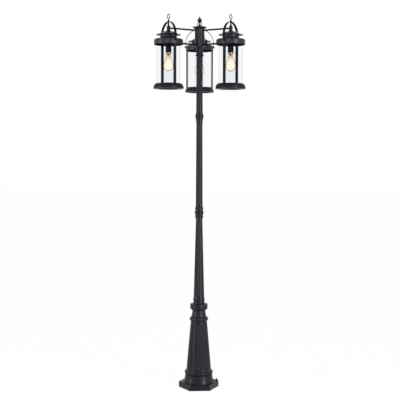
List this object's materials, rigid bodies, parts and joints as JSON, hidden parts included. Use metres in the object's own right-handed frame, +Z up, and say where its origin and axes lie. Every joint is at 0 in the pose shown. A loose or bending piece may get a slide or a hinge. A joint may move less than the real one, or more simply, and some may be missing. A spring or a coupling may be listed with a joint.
{
  "type": "triple head lamp post",
  "caption": "Sectional fluted garden lamp post on a hexagonal foot, with a hub whose rod arms carry glass cylinder lanterns with turning bulbs.",
  "frame": {"origin": "centre of the cable way at the base plate's underside, on the post's axis", "axes": "+Z up the post, +Y towards the back lantern, +X to the right as seen from the front, which looks along -Y"},
  "size_m": [0.5944, 0.541, 2.4495],
  "materials": {
    "black_casting": "satin",
    "black_steel": "satin",
    "zinc_steel": "satin",
    "terminal_plastic": "matte",
    "clear_glass": "gloss",
    "socket_shell": "satin",
    "bulb_brass": "satin",
    "bulb_glass": "gloss",
    "filament_wire": "matte"
  },
  "bodies": {
    "post": {"base_plate": "black_casting", "anchor_washers": "black_steel", "anchor_nuts": "black_steel", "base_shroud": "black_casting", "base_cone": "black_casting", "base_collar": "black_casting", "base_spigot": "zinc_steel", "lower_pole": "black_casting", "lower_joint_collar": "black_casting", "middle_pole": "black_casting", "upper_joint_collar": "black_casting", "joint_spigots": "zinc_steel", "upper_pole": "black_casting", "fitter_collar": "black_casting", "hub_body": "black_steel", "hub_set_screw": "black_steel", "hub_cap": "black_casting", "finial": "black_casting", "terminal_block": "terminal_plastic", "strap_knobs": "black_steel", "upper_arm_left": "black_steel", "lower_arm_left": "black_steel", "cap_ring_left": "black_steel", "roof_left": "black_casting", "arch_strap_left": "black_steel", "eye_loop_left": "black_steel", "cage_legs_left": "black_steel", "base_ring_left": "black_casting", "glass_left": "clear_glass", "socket_left": "socket_shell", "upper_arm_right": "black_steel", "lower_arm_right": "black_steel", "cap_ring_right": "black_steel", "roof_right": "black_casting", "arch_strap_right": "black_steel", "eye_loop_right": "black_steel", "cage_legs_right": "black_steel", "base_ring_right": "black_casting", "glass_right": "clear_glass", "socket_right": "socket_shell", "upper_arm_back": "black_steel", "lower_arm_back": "black_steel", "cap_ring_back": "black_steel", "roof_back": "black_casting", "arch_strap_back": "black_steel", "eye_loop_back": "black_steel", "cage_legs_back": "black_steel", "base_ring_back": "black_casting", "glass_back": "clear_glass", "socket_back": "socket_shell"},
    "bulb_left": {"bulb_cap_left": "bulb_brass", "bulb_glass_left": "bulb_glass", "filament_left": "filament_wire"},
    "bulb_right": {"bulb_cap_right": "bulb_brass", "bulb_glass_right": "bulb_glass", "filament_right": "filament_wire"},
    "bulb_back": {"bulb_cap_back": "bulb_brass", "bulb_glass_back": "bulb_glass", "filament_back": "filament_wire"}
  },
  "joints": [
    {"name": "bulb_left_turn", "type": "hinge", "parent": "post", "child": "bulb_left", "pos_m": [-0.19919, -0.115, 2.2], "axis": [0, 0, -1], "range_deg": [0, 900]},
    {"name": "bulb_right_turn", "type": "hinge", "parent": "post", "child": "bulb_right", "pos_m": [0.19919, -0.115, 2.2], "axis": [0, 0, -1], "range_deg": [0, 900]},
    {"name": "bulb_back_turn", "type": "hinge", "parent": "post", "child": "bulb_back", "pos_m": [0, 0.23, 2.2], "axis": [0, 0, -1], "range_deg": [0, 900]}
  ]
}
